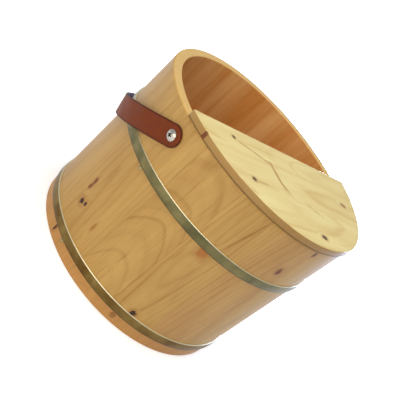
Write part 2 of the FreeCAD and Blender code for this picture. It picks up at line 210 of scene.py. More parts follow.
def make_stave(number):
    """One stave, dressed round outside and in, its long edges barely eased."""
    step = 360 / STAVE_COUNT
    start = FIRST_JOINT + number * step
    ease = math.degrees(JOINT_EASE / RIM_RADIUS)
    bands = 8
    outline = stave_outline()
    eased = []
    for point in outline:
        into_wood = math.copysign(JOINT_EASE, wall_radius(point.y) - WALL / 2 - point.x)
        eased.append(Vector((point.x + into_wood, point.y)))
    angles = [start + ease + (step - 2 * ease) * band / bands for band in range(bands + 1)]
    sections = [around(outline, angle) for angle in angles]
    mesh_data = bmesh.new()
    loft(mesh_data, [around(eased, start), *sections, around(eased, start + step)])
    node = f"stave_{number + 1:02d}"
    return finish_mesh(f"{node}_dressed", mesh_data, [node], sharp=60)


staves = [make_stave(number) for number in range(STAVE_COUNT)]


# The hoops

def make_hoop(node):
    """A flared band, slightly crowned outside, with rounded edges."""
    low = HOOP_LEVELS[node]
    high = low + HOOP_WIDTH
    middle = (low + high) / 2
    outline = rounded([
        (wall_radius(low), low, 0),
        (wall_radius(low) + HOOP_THICKNESS - HOOP_LOWER_BACK, low, HOOP_EDGE_ROUND),
        (wall_radius(middle) + HOOP_THICKNESS, middle, HOOP_CROWN_ROUND),
        (wall_radius(high) + HOOP_THICKNESS - HOOP_UPPER_BACK, high, HOOP_EDGE_ROUND),
        (wall_radius(high), high, 0),
    ], steps=6)
    segments = 180
    mesh_data = bmesh.new()
    loft(mesh_data, [around(outline, 360 * step / segments) for step in range(segments)], ring=True)
    return finish_mesh(f"{node}_band", mesh_data, [node], sharp=50)


hoops = [make_hoop(node) for node in HOOP_LEVELS]


# Nails and screws

def on_wall(angle, level):
    """The place on the outside of the wall whose Z axis points straight out of the wood."""
    tilt = Matrix.Rotation(math.pi / 2 + FLARE, 4, "Y")
    place = Matrix.Translation((wall_radius(level), 0, level)) @ tilt
    return Matrix.Rotation(math.radians(angle), 4, "Z") @ place


def dome(radius, rise, seat, rim, steps=8):
    """Outline of a domed head as (r, z): a short upright rim and then the dome, almost to the axis."""
    ball = (radius ** 2 + (rise - rim) ** 2) / (2 * (rise - rim))
    widest = math.asin(radius / ball)
    outline = [(radius - HEAD_EASE, seat), (radius, seat + HEAD_EASE)]
    for step in range(steps):
        slope = widest * (1 - step / steps)
        outline.append((ball * math.sin(slope), seat + rise - ball * (1 - math.cos(slope))))
    outline.append((radius * 0.02, seat + rise))
    return outline


def add_head(mesh_data, place, outline, segments):
    """Turn a dome's outline round the Z axis of its place on the wall."""
    spokes = [turn(360 * step / segments) for step in range(segments)]
    loft(mesh_data, [[place @ (spoke @ Vector((radius, 0, level))) for spoke in spokes]
                     for radius, level in outline])


def make_nails():
    """Small domed heads, a row of them just under each hoop."""
    mesh_data = bmesh.new()
    for level in HOOP_LEVELS.values():
        for stave in NAILED_STAVES:
            place = on_wall(NAIL_ANGLE + stave * 360 / STAVE_COUNT, level - NAIL_HEAD - NAIL_GAP)
            add_head(mesh_data, place, dome(NAIL_HEAD, NAIL_DOME, 0, NAIL_RIM), segments=24)
    return finish_mesh("hoop_nail_heads", mesh_data, ["hoop_nails"])


nails = make_nails()

SCREW_PLACES = [on_wall(angle, STRAP_LEVEL) for angle in (180, 0)]
SCREW_TOP = STRAP_THICKNESS + SCREW_DOME


def recess_sections(place):
    """The cross recess of one screw, from its narrow floor to just above the head."""
    half = RECESS_WIDTH / 2
    sections = []
    for level, share in ((SCREW_TOP - RECESS_DEPTH, RECESS_TAPER), (SCREW_TOP + 1, 1)):
        reach = RECESS_LENGTH / 2 * share
        arm = [(half, half), (half, reach), (-half, reach)]
        cross = []
        for _ in range(4):
            cross += arm
            arm = [(-y, x) for x, y in arm]
        sections.append([place @ Vector((x, y, level)) for x, y in cross])
    return sections


def make_recess_cutter():
    """An object that holds both recesses as solids, for the cut alone."""
    mesh_data = bmesh.new()
    for place in SCREW_PLACES:
        loft(mesh_data, recess_sections(place))
    bmesh.ops.recalc_face_normals(mesh_data, faces=mesh_data.faces)
    mesh = bpy.data.meshes.new("recess_cutter")
    mesh_data.to_mesh(mesh)
    mesh_data.free()
    cutter = bpy.data.objects.new("recess_cutter", mesh)
    bpy.context.collection.objects.link(cutter)
    return cutter


def cut_recesses(heads):
    """Cut the recesses for good, and leave neither the cutter nor the modifier behind."""
    cutter = make_recess_cutter()
    cut = heads.modifiers.new("recess", "BOOLEAN")
    cut.operation = "DIFFERENCE"
    cut.solver = "EXACT"
    cut.object = cutter
    heads.modifiers.move(heads.modifiers.find("recess"), 0)
    graph = bpy.context.evaluated_depsgraph_get()
    whole = bpy.data.meshes.new_from_object(heads.evaluated_get(graph))
    heads.modifiers.clear()
    heads.data = whole
    bpy.data.objects.remove(cutter)
    whole.shade_smooth()
    whole.set_sharp_from_angle(angle=math.radians(35))


def mark_recesses(heads):
    """Give the second material, a dark steel that is painted shade, to the faces that lie under a screw's
    domed skin.
    """
    ball = (SCREW_HEAD ** 2 + SCREW_DOME ** 2) / (2 * SCREW_DOME)
    shallowest = 0.15
    deepest = RECESS_DEPTH + 0.5
    for face in heads.data.polygons:
        for place in SCREW_PLACES:
            spot = place.inverted() @ (face.center / MM)
            out = math.hypot(spot.x, spot.y)
            skin = SCREW_TOP - ball + math.sqrt(max(ball ** 2 - out ** 2, 0))
            if out < RECESS_LENGTH / 2 and shallowest < skin - spot.z < deepest:
                face.material_index = 1


def make_screws():
    """Broad domed heads, each with a cross recess cut into it."""
    mesh_data = bmesh.new()
    for place in SCREW_PLACES:
        add_head(mesh_data, place, dome(SCREW_HEAD, SCREW_DOME, STRAP_THICKNESS, SCREW_RIM), segments=48)
    heads = finish_mesh("strap_screw_heads", mesh_data, ["handle_screws"])
    cut_recesses(heads)
    mark_recesses(heads)
    return heads


screws = make_screws()


# The lid

LID_JOINTS = [LID_CUT + (LID_RADIUS - LID_CUT) * share for share in LID_SHARES]


def lid_outline(near, far):
    """Outline of one lid board in the lid's own plane: chords of its circle joined by arcs. The
    board at the straight edge has rounded corners."""
    first = math.acos(near / LID_RADIUS)
    last = math.acos(min(far / LID_RADIUS, 1))
    steps = 40
    low = [-first + (first - last) * step / steps for step in range(steps + 1)]
    high = [-angle for angle in reversed(low)]
    angles = low + (high if last else high[1:])
    points = [Vector((LID_RADIUS * math.cos(angle), LID_RADIUS * math.sin(angle))) for angle in angles]
    if near == LID_CUT:
        corner = Vector((near, points[0].y))
        start = corner + Vector((0, LID_CORNER))
        points = [point for point in points if point.x > near + LID_CORNER * 0.8]
        end = points[0]
        low_corner = [start.lerp(corner, share).lerp(corner.lerp(end, share), share)
                      for share in (0, 0.2, 0.4, 0.6, 0.8)]
        points = low_corner + points
        points += [Vector((point.x, -point.y)) for point in reversed(low_corner)]
    return points


def inset(points, amount, kept):
    """Move the points of a convex outline inwards, but not off the joints named in kept."""
    moved = []
    for number, point in enumerate(points):
        along = (points[(number + 1) % len(points)] - points[number - 1]).normalized()
        shift = Vector((-along.y, along.x)) * amount
        if any(abs(point.x - joint) < 0.01 for joint in kept):
            shift = -Vector((0, point.y)).normalized() * amount * LID_RADIUS / abs(point.y)
        moved.append(point + shift)
    return moved


def make_lid_board(number):
    """One board of the half lid: its joints are square and its outer top edge is rounded."""
    outline = lid_outline(LID_JOINTS[number], LID_JOINTS[number + 1])
    levels = [(0, LID_LOWER_EASE), (LID_LOWER_EASE, 0)]
    steps = 4
    for step in range(steps + 1):
        slope = math.pi / 2 * step / steps
        levels.append((LID_THICKNESS - LID_UPPER_ROUND * (1 - math.sin(slope)),
                       LID_UPPER_ROUND * (1 - math.cos(slope))))
    sections = []
    for level, amount in levels:
        ring = inset(outline, amount, LID_JOINTS[1:-1])
        sections.append([turn(LID_ANGLE) @ Vector((point.x, point.y, HEIGHT + level)) for point in ring])
    mesh_data = bmesh.new()
    loft(mesh_data, sections)
    node = f"lid_board_{number + 1}"
    return finish_mesh(f"{node}_planed", mesh_data, [node], sharp=30)


lid_boards = [make_lid_board(number) for number in range(len(LID_SHARES) - 1)]


# The leather strap

def strap_tab():
    """Stations of the left tab, flat on the wall, from its round end past its screw. A station is
    (point, across, outward, half width)."""
    droop = math.radians(STRAP_DROOP)
    outward = Vector((-math.cos(FLARE), 0, -math.sin(FLARE)))
    upward = Vector((-math.sin(FLARE), 0, math.cos(FLARE)))
    level_way = Vector((0, 1, 0))
    along = level_way * math.cos(droop) - upward * math.sin(droop)
    across = level_way * math.sin(droop) + upward * math.cos(droop)
    half_width = STRAP_WIDTH / 2
    middle = Vector((-wall_radius(STRAP_LEVEL), 0, STRAP_LEVEL)) + outward * (STRAP_THICKNESS / 2)
    stations = []
    end_steps = 12
    for step in range(1, end_steps):
        turned = math.pi / 2 * step / end_steps
        stations.append((middle - along * half_width * math.cos(turned), across, outward,
                         half_width * math.sin(turned)))
    tab_steps = 3
    for step in range(tab_steps + 1):
        stations.append((middle + along * STRAP_TAB * step / tab_steps, across, outward, half_width))
    return stations


def strap_loop():
    """Stations from the left tab to the middle of the back. The strap swings out from the wall,
    sinks at its droop and leans outwards as it goes."""
    droop = math.radians(STRAP_DROOP)
    near = wall_radius(STRAP_LEVEL) + STRAP_THICKNESS / 2
    reach = near + STRAP_SLACK
    sideways = Vector((-1, 0, 0))
    sinking = Vector((0, math.cos(droop), -math.sin(droop)))
    upright = Vector((0, math.sin(droop), math.cos(droop)))
    stations = []
    # the steps before this one are left to the flat tab
    first_step = 3
    steps = 54
    for step in range(first_step, steps + 1):
        angle = math.pi / 2 * step / steps
        off = STRAP_STAND_OFF * (1 - math.cos(angle) ** STRAP_SETTLE)
        growth = STRAP_STAND_OFF * STRAP_SETTLE * math.cos(angle) ** (STRAP_SETTLE - 1) * math.sin(angle)
        point = Vector((0, 0, STRAP_LEVEL)) + sideways * ((near + off) * math.cos(angle))
        point += sinking * ((reach + off) * math.sin(angle))
        heading = sideways * (growth * math.cos(angle) - (near + off) * math.sin(angle))
        heading += sinking * (growth * math.sin(angle) + (reach + off) * math.cos(angle))
        away = upright.cross(heading).normalized()
        lean = math.radians(STRAP_TWIST) * math.sin(angle) ** 2
        stations.append((point, upright * math.cos(lean) - away * math.sin(lean),
                         away * math.cos(lean) + upright * math.sin(lean), STRAP_WIDTH / 2))
    return stations


def mirrored(station):
    """The same station on the strap's right half."""
    vectors = [Vector((-vector.x, vector.y, vector.z)) for vector in station[:3]]
    return (*vectors, station[3])


def make_strap():
    """The strap from tab to tab. Each point knows whether the dark dye and painted shade of the cut edges
    reach it.
    """
    left = strap_tab() + strap_loop()
    right = [mirrored(station) for station in reversed(left[:-1])]
    skin = STRAP_THICKNESS / 2
    sections = []
    dye_and_shade = []
    for point, across, outward, half_width in left + right:
        clear = max(half_width - STRAP_DYE_AND_SHADE_WIDTH, half_width * 0.3)
        outline = rounded([(half_width, -skin, STRAP_EDGE_ROUND), (half_width, skin, STRAP_EDGE_ROUND),
                           (clear, skin, 0), (-clear, skin, 0), (-half_width, skin, STRAP_EDGE_ROUND),
                           (-half_width, -skin, STRAP_EDGE_ROUND)], steps=4)
        sections.append([point + across * corner.x + outward * corner.y for corner in outline])
        dye_and_shade += [float(abs(corner.x) > clear + 0.1) for corner in outline]
    mesh_data = bmesh.new()
    loft(mesh_data, sections)
    leather = finish_mesh("handle_strap_leather", mesh_data, ["handle_strap"], sharp=70)
    leather.data.attributes.new("edge_dye_and_shade", "FLOAT", "POINT").data.foreach_set("value", dye_and_shade)
    return leather


strap = make_strap()


# Materials

def linear(hexed):
    """An sRGB hex colour as the linear colour that a shader works in."""
    channels = [int(hexed[start:start + 2], 16) / 255 for start in (1, 3, 5)]
    return [channel / 12.92 if channel <= 0.04045 else ((channel + 0.055) / 1.055) ** 2.4
            for channel in channels] + [1.0]


def put(tree, kind, inputs=None, **settings):
    """Add a node with its settings. Each input is a value, or another node's output to link."""
    node = tree.nodes.new(kind)
    for setting, value in settings.items():
        setattr(node, setting, value)
    for socket, value in (inputs or {}).items():
        if isinstance(value, bpy.types.NodeSocket):
            tree.links.new(value, node.inputs[socket])
        else:
            node.inputs[socket].default_value = value
    return node


def new_material(name):
    material = bpy.data.materials.new(name)
    material.use_nodes = True
    material.node_tree.nodes.clear()
    return material, material.node_tree


def dress(piece, *materials):
    """Give a piece its materials. Faces that were marked for a second one keep it."""
    marked = [min(face.material_index, len(materials) - 1) for face in piece.data.polygons]
    piece.data.materials.clear()
    for material in materials:
        piece.data.materials.append(material)
    piece.data.polygons.foreach_set("material_index", marked)


def from_axis(tree, position):
    """How far a place is from the tub's axis."""
    flat = put(tree, "ShaderNodeVectorMath", {0: position, 1: (1, 1, 0)}, operation="MULTIPLY").outputs[0]
    return put(tree, "ShaderNodeVectorMath", {0: flat}, operation="LENGTH").outputs["Value"]


# Varnished pine

@dataclass
class Board:
    """How one board was sawn from its log, in mm. Its axes go through it, across it and along its
    grain. The pith is the log's centre, as (through, across), and the slope is how much the pith
    leans those two ways along the board. The grain wave is how far the rings wander. A mark is a
    knot or a streak, as (across, along, half width, half length, tilt, colour, strength). The edge
    is a function that colours the board's faces by where they lie, which for the lid includes painted shadow."""
    axes: tuple
    origin: tuple = (0, 0, 0)
    pith: tuple = (-40, 0)
    slope: tuple = (0, 0)
    ring: float = 5
    early: str = "#D9B066"
    late: str = "#A2712F"
    seed: float = 0
    marks: tuple = ()
    contrast: float = 0.65
    grain_wave: float = 7
    edge: object = None


KNOT = "#2C0E00"
KNOT_RED = "#6A2A08"
HALO = "#A2622A"
STREAK = "#A06C28"
LID_STREAK = "#AE8036"

# sizes of what shows in pine, in mm: through the board, across it and along its grain
RING_WANDER = (90, 90, 300)
CLOUDS = (40, 26, 150)
RESIN_STREAKS = (3, 2.6, 120)
RAGGED_EDGES = (3.5, 3, 6)
# real fibres are some 0.04 mm wide and are drawn coarser so that they show
FIBRES = (1.1, 0.9, 45)


def place_in_board(tree, position, board):
    """A place in mm along the board's own axes."""
    to_board = Matrix(board.axes)
    return put(tree, "ShaderNodeMapping",
               {"Vector": position, "Scale": (1 / MM,) * 3, "Rotation": to_board.to_euler(),
                "Location": -(to_board @ Vector(board.origin))}).outputs[0]


def ring_radius(tree, local, board):
    """The distance from the log's pith, with the slow wander of the rings."""
    wander_at = put(tree, "ShaderNodeVectorMath", {0: local, 1: RING_WANDER}, operation="DIVIDE").outputs[0]
    wander = put(tree, "ShaderNodeTexNoise",
                 {"Vector": wander_at, "W": board.seed, "Scale": 1.0, "Detail": 2.0, "Roughness": 0.45},
                 noise_dimensions="4D").outputs[0]
    parts = put(tree, "ShaderNodeSeparateXYZ", {0: local})
    deep = put(tree, "ShaderNodeMath", {0: parts.outputs[2], 1: -board.slope[0], 2: parts.outputs[0]},
               operation="MULTIPLY_ADD").outputs[0]
    wide = put(tree, "ShaderNodeMath", {0: parts.outputs[2], 1: -board.slope[1], 2: parts.outputs[1]},
               operation="MULTIPLY_ADD").outputs[0]
    from_pith = put(tree, "ShaderNodeCombineXYZ", {0: deep, 1: wide}).outputs[0]
    from_pith = put(tree, "ShaderNodeVectorMath", {0: from_pith, 1: (*board.pith, 0)},
                    operation="SUBTRACT").outputs[0]
    radius = put(tree, "ShaderNodeVectorMath", {0: from_pith}, operation="LENGTH").outputs["Value"]
    return put(tree, "ShaderNodeMath", {0: wander, 1: board.grain_wave * 2, 2: radius},
               operation="MULTIPLY_ADD").outputs[0]


def bend_round_marks(tree, local, board, radius):
    """Bend the rings round each mark. Also gives the distance from each mark, in its half sizes."""
    reaches = []
    for across, along, half_width, half_length, tilt, _, _ in board.marks:
        spot = put(tree, "ShaderNodeMapping",
                   {"Vector": local, "Location": (0, across, along),
                    "Rotation": (math.radians(tilt), 0, 0), "Scale": (1e5, half_width, half_length)},
                   vector_type="TEXTURE").outputs[0]
        reach = put(tree, "ShaderNodeVectorMath", {0: spot}, operation="LENGTH").outputs["Value"]
        bend = put(tree, "ShaderNodeMapRange", {0: reach, 1: 0.0, 2: 3.5, 3: board.ring * 1.2, 4: 0.0},
                   interpolation_type="SMOOTHERSTEP").outputs[0]
        radius = put(tree, "ShaderNodeMath", {0: radius, 1: bend}, operation="ADD").outputs[0]
        reaches.append(reach)
    return radius, reaches


def late_wood_share(tree, radius, board):
    """How much of the dark wood that ends each ring shows. Rings come wide and narrow by turns,
    and some are darker than others."""
    count = put(tree, "ShaderNodeMath", {0: radius, 1: board.ring}, operation="DIVIDE").outputs[0]
    uneven = put(tree, "ShaderNodeTexNoise", {"W": count, "Scale": 0.37, "Detail": 1.0},
                 noise_dimensions="1D").outputs[0]
    count = put(tree, "ShaderNodeMath", {0: uneven, 1: 2.2, 2: count}, operation="MULTIPLY_ADD").outputs[0]
    phase = put(tree, "ShaderNodeMath", {0: count}, operation="FRACT").outputs[0]
    whole = put(tree, "ShaderNodeMath", {0: count}, operation="FLOOR").outputs[0]
    across_ring = put(tree, "ShaderNodeValToRGB", {0: phase})
    ramp = across_ring.color_ramp
    ramp.interpolation = "EASE"
    ramp.elements[0].color = (0.25, 0.25, 0.25, 1)
    ramp.elements[1].position = 0.22
    ramp.elements[1].color = (0, 0, 0, 1)
    for place, level in ((0.6, 0.12), (0.86, 1.0), (1.0, 0.25)):
        ramp.elements.new(place).color = (level, level, level, 1)
    loud = put(tree, "ShaderNodeTexWhiteNoise", {"W": whole}, noise_dimensions="1D").outputs["Value"]
    loud = put(tree, "ShaderNodeMath", {0: loud, 1: 2.0}, operation="POWER").outputs[0]
    loud = put(tree, "ShaderNodeMath", {0: loud, 1: 0.75, 2: 0.2}, operation="MULTIPLY_ADD").outputs[0]
    return put(tree, "ShaderNodeMath", {0: across_ring.outputs[0], 1: loud}, operation="MULTIPLY").outputs[0]


def make_fibres(tree, local, board):
    fibre_at = put(tree, "ShaderNodeVectorMath", {0: local, 1: FIBRES}, operation="DIVIDE").outputs[0]
    return put(tree, "ShaderNodeTexNoise",
               {"Vector": fibre_at, "W": board.seed, "Scale": 1.0, "Detail": 3.0, "Roughness": 0.6},
               noise_dimensions="4D").outputs[0]


def wood_colour(tree, local, board, late_share, fibre):
    """Early and late wood, mixed by the rings, the fibres, soft clouds and a few thin brown
    streaks of resin."""
    cloud_at = put(tree, "ShaderNodeVectorMath", {0: local, 1: CLOUDS}, operation="DIVIDE").outputs[0]
    cloud = put(tree, "ShaderNodeTexNoise",
                {"Vector": cloud_at, "W": board.seed + 3, "Scale": 1.0, "Detail": 3.0},
                noise_dimensions="4D").outputs[0]
    resin_at = put(tree, "ShaderNodeVectorMath", {0: local, 1: RESIN_STREAKS}, operation="DIVIDE").outputs[0]
    resin = put(tree, "ShaderNodeTexNoise",
                {"Vector": resin_at, "W": board.seed + 7, "Scale": 1.0, "Detail": 1.0},
                noise_dimensions="4D").outputs[0]
    resin = put(tree, "ShaderNodeMapRange", {0: resin, 1: 0.64, 2: 0.8, 3: 0.0, 4: 0.4}).outputs[0]
    shade = put(tree, "ShaderNodeMath", {0: late_share, 1: 0.55 * board.contrast, 2: -0.36},
                operation="MULTIPLY_ADD").outputs[0]
    shade = put(tree, "ShaderNodeMath", {0: fibre, 1: 0.5, 2: shade}, operation="MULTIPLY_ADD").outputs[0]
    shade = put(tree, "ShaderNodeMath", {0: cloud, 1: 0.9, 2: shade}, operation="MULTIPLY_ADD").outputs[0]
    shade = put(tree, "ShaderNodeMath", {0: resin, 1: shade}, operation="ADD", use_clamp=True).outputs[0]
    return put(tree, "ShaderNodeMix", {0: shade, 6: linear(board.early), 7: linear(board.late)},
               data_type="RGBA").outputs[2]


def draw_marks(tree, local, board, reaches, colour):
    """Knots and streaks with ragged edges, each in a soft halo."""
    ragged_at = put(tree, "ShaderNodeVectorMath", {0: local, 1: RAGGED_EDGES}, operation="DIVIDE").outputs[0]
    ragged = put(tree, "ShaderNodeTexNoise", {"Vector": ragged_at, "W": board.seed, "Scale": 1.0},
                 noise_dimensions="4D").outputs[0]
    for reach, mark in zip(reaches, board.marks):
        hexed, strength = mark[-2:]
        out = put(tree, "ShaderNodeMath", {0: ragged, 1: 1.3, 2: reach}, operation="MULTIPLY_ADD").outputs[0]
        halo = put(tree, "ShaderNodeMapRange", {0: out, 1: 1.4, 2: 3.2, 3: 0.55 * strength, 4: 0.0},
                   interpolation_type="SMOOTHSTEP").outputs[0]
        colour = put(tree, "ShaderNodeMix", {0: halo, 6: colour, 7: linear(HALO)},
                     data_type="RGBA").outputs[2]
        cover = put(tree, "ShaderNodeMapRange", {0: out, 1: 1.5, 2: 1.9, 3: strength, 4: 0.0},
                    interpolation_type="SMOOTHSTEP").outputs[0]
        colour = put(tree, "ShaderNodeMix", {0: cover, 6: colour, 7: linear(hexed)},
                     data_type="RGBA").outputs[2]
    return colour


def varnished_pine(name, board):
    """Pine, planed and varnished. It gives the eye wide pale rings with thin darker lines, fine
    fibres along the grain, knots that bend the rings, and a soft gloss from the varnish."""
    material, tree = new_material(name)
    position = put(tree, "ShaderNodeTexCoord").outputs["Object"]
    local = place_in_board(tree, position, board)
    radius, reaches = bend_round_marks(tree, local, board, ring_radius(tree, local, board))
    late_share = late_wood_share(tree, radius, board)
    fibre = make_fibres(tree, local, board)
    colour = wood_colour(tree, local, board, late_share, fibre)
    if board.edge:
        colour = board.edge(tree, position, colour)
    colour = draw_marks(tree, local, board, reaches, colour)
    relief = put(tree, "ShaderNodeMath", {0: fibre, 1: 0.5, 2: late_share},
                 operation="MULTIPLY_ADD").outputs[0]
    bump = put(tree, "ShaderNodeBump", {"Height": relief, "Strength": 0.25, "Distance": 0.1 * MM}).outputs[0]
    gloss = put(tree, "ShaderNodeMapRange", {0: fibre, 1: 0.3, 2: 0.7, 3: 0.5, 4: 0.62}).outputs[0]
    shader = put(tree, "ShaderNodeBsdfPrincipled",
                 {"Base Color": colour, "Roughness": gloss, "Normal": bump, "IOR": 1.45,
                  "Specular IOR Level": 0.3, "Coat Weight": 0.2, "Coat Roughness": 0.2})
    put(tree, "ShaderNodeOutputMaterial", {"Surface": shader.outputs[0]})
    return material


# The staves' pine

INSIDE_REDS = ("#FFC07E", "#E48E42")
RIM_PALE = "#E3BF76"
FOOT_RED = "#DC9858"


def stave_faces(tree, position, colour):
    """Inside the tub the wood is mixed towards a redder brown in long streaks, and wet floors have
    turned its foot red brown. The rim's end grain is sanded pale."""
    height = put(tree, "ShaderNodeSeparateXYZ", {0: position}).outputs[2]
    depth = put(tree, "ShaderNodeMath", {0: height, 1: -WALL_SLOPE, 2: from_axis(tree, position)},
                operation="MULTIPLY_ADD").outputs[0]
    inner = (FOOT_RADIUS - WALL) * MM
    inside = put(tree, "ShaderNodeMapRange", {0: depth, 1: inner + 0.3 * MM, 2: inner + 1.5 * MM,
                                              3: 0.6, 4: 0.0}).outputs[0]
    # red streaks up to 20 mm wide and 400 mm long
    streaked_at = put(tree, "ShaderNodeVectorMath", {0: position, 1: (20 * MM, 20 * MM, 400 * MM)},
                    operation="DIVIDE").outputs[0]
    streaked = put(tree, "ShaderNodeTexNoise", {"Vector": streaked_at, "Scale": 1.0, "Detail": 3.0}).outputs[0]
    streaked = put(tree, "ShaderNodeMapRange", {0: streaked, 1: 0.35, 2: 0.65}).outputs[0]
    streaked = put(tree, "ShaderNodeMix", {0: streaked, 6: linear(INSIDE_REDS[0]), 7: linear(INSIDE_REDS[1])},
                 data_type="RGBA").outputs[2]
    colour = put(tree, "ShaderNodeMix", {0: inside, 6: colour, 7: streaked}, data_type="RGBA").outputs[2]
    rim = put(tree, "ShaderNodeMapRange", {0: height, 1: (HEIGHT - 2.4) * MM, 2: (HEIGHT - 0.4) * MM,
                                           3: 0.0, 4: 0.6}).outputs[0]
    colour = put(tree, "ShaderNodeMix", {0: rim, 6: colour, 7: linear(RIM_PALE)},
                 data_type="RGBA").outputs[2]
    foot = put(tree, "ShaderNodeMapRange", {0: height, 1: 19 * MM, 2: 24 * MM, 3: 0.45, 4: 0.0}).outputs[0]
    return put(tree, "ShaderNodeMix", {0: foot, 6: colour, 7: linear(FOOT_RED)},
               data_type="RGBA").outputs[2]


# Staves that the camera sees, by number from the first joint, and what differs in their boards
SEEN_STAVES = {
    14: {"pith": (150, 45), "ring": 8, "seed": 4.1, "contrast": 0.5,
         "marks": ((29, 116, 3, 6, 8, KNOT_RED, 0.8), (29, 104.5, 2.6, 5, -18, KNOT_RED, 0.75),
                   (39, 80, 4.5, 5.5, 0, KNOT, 0.95))},
    15: {"pith": (158, -30), "ring": 7.5, "seed": 1.7, "contrast": 0.5,
         "marks": ((-36, 80, 3.4, 4.6, 12, KNOT, 0.95), (-27, 84, 2.6, 3.6, 0, KNOT, 0.95),
                   (-36, 13.4, 3.4, 5.5, 0, KNOT, 0.95), (12.5, 80.5, 2, 7, 0, STREAK, 0.6))},
    0: {"pith": (148, -4), "slope": (-0.12, 0), "ring": 5, "seed": 2.3, "contrast": 0.6},
    1: {"pith": (160, -8), "slope": (0.14, 0.01), "ring": 6.5, "seed": 7.9, "contrast": 0.7,
        "grain_wave": 11,
        "marks": ((0, 40.4, 4.2, 4.6, 0, KNOT, 0.95), (-9, 196, 7, 9, 0, "#B5651D", 0.6),
                  (12.9, 262, 1.3, 40, -9, STREAK, 0.6), (-17, 14, 4, 5, 0, KNOT_RED, 0.45))},
    2: {"pith": (150, 60), "ring": 7, "seed": 5.5, "contrast": 0.6, "early": "#D6AB66", "late": "#A87036",
        "marks": ((23.5, 242.5, 4, 6.5, 0, KNOT_RED, 0.9),)},
    3: {"pith": (140, 30), "ring": 7.5, "seed": 9.2, "contrast": 0.5,
        "marks": ((-38, 296, 4, 5, 0, KNOT, 0.9),)},
}


def stave_board(number):
    """The board of one stave. What the photograph doesn't show differs from stave to stave by a
    share from 0 to 1 that only looks random."""
    middle = FIRST_JOINT + (number + 0.5) * 360 / STAVE_COUNT
    through = turn(middle) @ Vector((1, 0, 0))
    across = turn(middle) @ Vector((0, 1, 0))
    wild = math.sin(number * 12.9898) * 43758.5453
    wild -= math.floor(wild)
    usual = {"pith": (145 + 15 * wild, 60 * wild - 30), "slope": (0.16 * wild - 0.08, 0),
             "ring": 5 + 2 * wild, "seed": 10 * wild, "edge": stave_faces}
    return Board((through, across, (0, 0, 1)), **{**usual, **SEEN_STAVES.get(number, {})})


for number, stave in enumerate(staves):
    dress(stave, varnished_pine(f"wall_pine_{number + 1:02d}", stave_board(number)))


# The lid's pine

LID_EARLY = "#F1E4A3"
LID_LATE = "#CDA85E"
LID_SIDE = "#A2702E"
# painted shadow in the seam between lid and rim
LID_SEAM_SHADOW = "#381A06"

# the marks of each lid board, placed from the tub's axis: away from the straight edge, then along it
LID_MARKS = (
    ((35.3, -124.7, 2.8, 3.4, 0, KNOT, 0.9), (44.6, -100, 1.5, 17, -16, LID_STREAK, 0.5),
     (52, -76, 1.5, 10, -17, LID_STREAK, 0.5), (53.2, -196.5, 1.6, 2, 0, KNOT_RED, 0.9)),
    ((112.2, -123.6, 3.6, 4.6, 0, KNOT, 0.85), (56, -195.8, 1.4, 1.8, 0, KNOT_RED, 0.9),
     (58, -57, 1.5, 10, -17, LID_STREAK, 0.5), (77.2, -46.2, 2.2, 18, -84, LID_STREAK, 0.75),
     (100.8, -40, 1.6, 10, -59, LID_STREAK, 0.75), (81.6, 145, 4, 7, 0, "#8F5A2E", 0.7),
     (113.6, -104, 1.4, 13, 2, LID_STREAK, 0.4), (122, 12, 1.3, 6, -23, LID_STREAK, 0.35)),
    ((179.7, 7.5, 4, 6, 0, KNOT, 0.85), (128.5, 26, 1.3, 8, -23, LID_STREAK, 0.35)),
)


def lid_edge(tree, position, colour):
    """The lid's round edge, where sawn ends have drunk more varnish and gone brown, and a dark
    line of painted shadow along its lower corner, where the lid overhangs the rim."""
    brown = put(tree, "ShaderNodeMapRange",
                {0: from_axis(tree, position), 1: (LID_RADIUS - 1) * MM, 2: (LID_RADIUS - 0.2) * MM,
                 3: 0.0, 4: 0.8}).outputs[0]
    colour = put(tree, "ShaderNodeMix", {0: brown, 6: colour, 7: linear(LID_SIDE)},
                 data_type="RGBA").outputs[2]
    height = put(tree, "ShaderNodeSeparateXYZ", {0: position}).outputs[2]
    # painted shadow along the lid's lower corner
    seam_shadow = put(tree, "ShaderNodeMapRange", {0: height, 1: (HEIGHT + 0.9) * MM, 2: (HEIGHT + 3) * MM,
                                            3: 0.9, 4: 0.0}).outputs[0]
    seam_shadow = put(tree, "ShaderNodeMath", {0: seam_shadow, 1: brown}, operation="MULTIPLY").outputs[0]
    return put(tree, "ShaderNodeMix", {0: seam_shadow, 6: colour, 7: linear(LID_SEAM_SHADOW)},
               data_type="RGBA").outputs[2]


def lid_grain(number):
    """The board of one lid board, whose grain runs along the lid's straight edge."""
    out = turn(LID_ANGLE) @ Vector((1, 0, 0))
    along = turn(LID_ANGLE) @ Vector((0, 1, 0))
    return Board((Vector((0, 0, 1)), out, along), origin=(0, 0, HEIGHT),
                 pith=(-45 - 20 * number, 40 + 50 * number), slope=(0.08 - 0.06 * number, 0.02),
                 ring=6.5, seed=2.2 + number, early=LID_EARLY, late=LID_LATE, marks=LID_MARKS[number],
                 contrast=0.8, edge=lid_edge)


for number, lid_board in enumerate(lid_boards):
    dress(lid_board, varnished_pine(f"lid_pine_{number + 1}", lid_grain(number)))


# The pine of the floor boards and battens, which the CAD solids keep

def plank(direction, seed, **differing):
    """A flat-sawn board whose grain runs in a level direction."""
    side = Vector((-direction[1], direction[0], 0))
    return Board((Vector((0, 0, 1)), side, direction), seed=seed, pith=(-60, 15), ring=6, **differing)


for number in range(FLOOR_BOARD_COUNT):
    floor_grain = plank(Vector((1, 0, 0)), number * 1.3, early="#DC9E5A")
    dress(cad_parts[f"floor_board_{number + 1}"],
          varnished_pine(f"floor_pine_{number + 1}", floor_grain))

for number, node in enumerate(("front_lid_batten", "rear_lid_batten")):
    batten_grain = plank(turn(LID_ANGLE) @ Vector((1, 0, 0)), 6 + number)
    dress(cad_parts[node], varnished_pine(f"batten_pine_{number + 1}", batten_grain))
